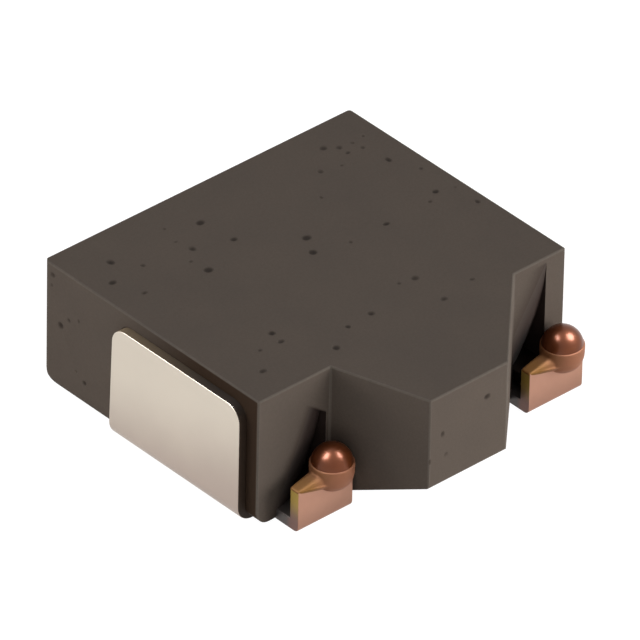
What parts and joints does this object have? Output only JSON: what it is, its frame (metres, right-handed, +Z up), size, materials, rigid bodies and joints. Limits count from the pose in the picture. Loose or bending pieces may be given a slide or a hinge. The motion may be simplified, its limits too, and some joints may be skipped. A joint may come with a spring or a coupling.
{
  "type": "shielded surface-mount power inductor",
  "caption": "Low square moulded power inductor with a trapezoid nose, tinned side plates, solder pads underneath and welded copper lugs in front.",
  "frame": {"origin": "middle of the outline seen from above, at the underside of the solder pads", "axes": "+Z up from the board, +X towards the right-hand terminal, -Y towards the nose and the welded lugs"},
  "size_m": [0.0068, 0.0068, 0.0025],
  "materials": {
    "pressed_composite": "matte pressed iron powder",
    "enamelled_wire": "enamelled copper",
    "tinned_copper": "matte tin over copper",
    "melted_copper": "glossy heat-browned copper"
  },
  "bodies": {
    "root": {"moulded_body": "pressed_composite", "coil_winding": "enamelled_wire", "terminal_left": "tinned_copper", "terminal_right": "tinned_copper", "weld_bead_left": "melted_copper", "weld_bead_right": "melted_copper"}
  },
  "joints": []
}
